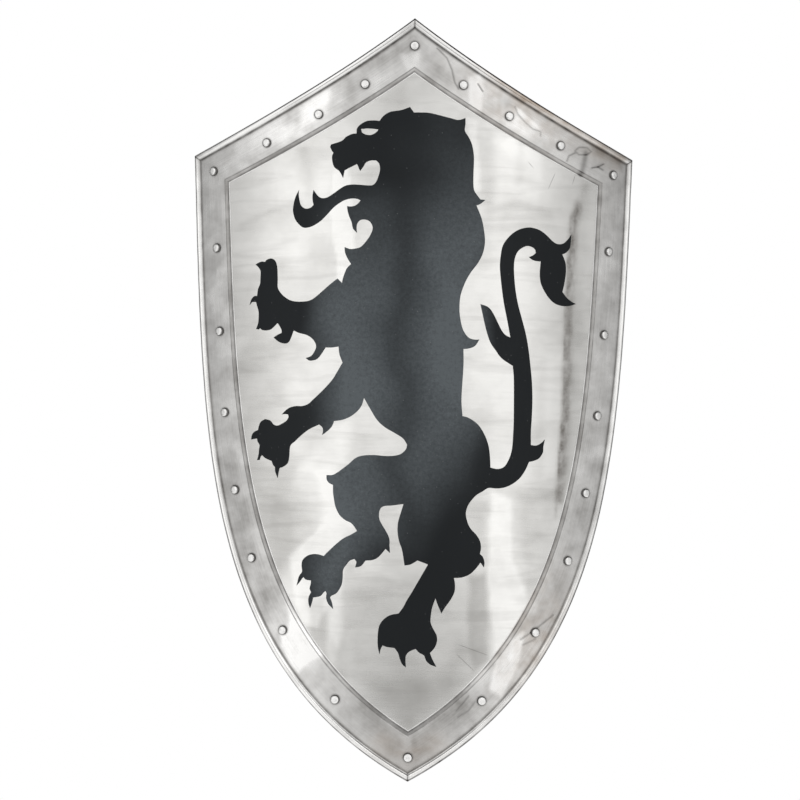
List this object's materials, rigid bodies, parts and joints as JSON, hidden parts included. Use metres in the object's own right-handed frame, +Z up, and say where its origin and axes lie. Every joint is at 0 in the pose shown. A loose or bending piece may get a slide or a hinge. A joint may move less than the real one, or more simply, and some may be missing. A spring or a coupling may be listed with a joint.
{
  "type": "crusader shield",
  "caption": "Peaked steel heater shield bent about its upright axis, with a raised riveted border, a rolled edge, a painted black lion and leather arm straps.",
  "frame": {"origin": "middle of the bar of the hanging ring at the back, under the apex: the shield hangs from it", "axes": "+Z up to the apex, the painted front faces -Y, +X to the right as the front is seen"},
  "size_m": [0.425, 0.086, 0.7096],
  "materials": {
    "polished_plate": "hand-polished mild steel, soft upright reflections and fine wiping marks",
    "satin_border": "satin-polished mild steel, hammered over the rolled edge",
    "rivet_steel": "bright domed heads",
    "black_paint": "satin black enamel laid on through a stencil",
    "mild_steel": "drawn mild steel wire and strip, dull, bent and welded",
    "brown_leather": "oiled vegetable-tanned strap leather with dyed edges"
  },
  "bodies": {
    "shield": {"border_band": "satin_border", "border_rivet_01": "rivet_steel", "border_rivet_02": "rivet_steel", "border_rivet_03": "rivet_steel", "border_rivet_04": "rivet_steel", "border_rivet_05": "rivet_steel", "border_rivet_06": "rivet_steel", "border_rivet_07": "rivet_steel", "border_rivet_08": "rivet_steel", "border_rivet_09": "rivet_steel", "border_rivet_10": "rivet_steel", "border_rivet_11": "rivet_steel", "border_rivet_12": "rivet_steel", "border_rivet_13": "rivet_steel", "border_rivet_14": "rivet_steel", "border_rivet_15": "rivet_steel", "border_rivet_16": "rivet_steel", "border_rivet_17": "rivet_steel", "border_rivet_18": "rivet_steel", "border_rivet_19": "rivet_steel", "border_rivet_20": "rivet_steel", "border_rivet_21": "rivet_steel", "border_rivet_22": "rivet_steel", "border_rivet_23": "rivet_steel", "border_rivet_24": "rivet_steel", "edge_wire": "mild_steel", "face_plate": "polished_plate", "forearm_staple_lower": "mild_steel", "forearm_staple_upper": "mild_steel", "forearm_strap": "brown_leather", "forearm_strap_rivet_1": "rivet_steel", "forearm_strap_rivet_2": "rivet_steel", "forearm_strap_rivet_3": "rivet_steel", "forearm_strap_rivet_4": "rivet_steel", "hand_staple_lower": "mild_steel", "hand_staple_upper": "mild_steel", "hand_strap": "brown_leather", "hand_strap_rivet_1": "rivet_steel", "hand_strap_rivet_2": "rivet_steel", "hand_strap_rivet_3": "rivet_steel", "hand_strap_rivet_4": "rivet_steel", "hanger_clip": "mild_steel", "lion_rampant": "black_paint"},
    "hanging_ring": {"hanging_dee": "mild_steel"}
  },
  "joints": [
    {"name": "hanging_dee_swing", "type": "hinge", "parent": "shield", "child": "hanging_ring", "pos_m": [0, 0, 0], "axis": [1, 0, 0], "range_deg": [-5, 185]}
  ]
}
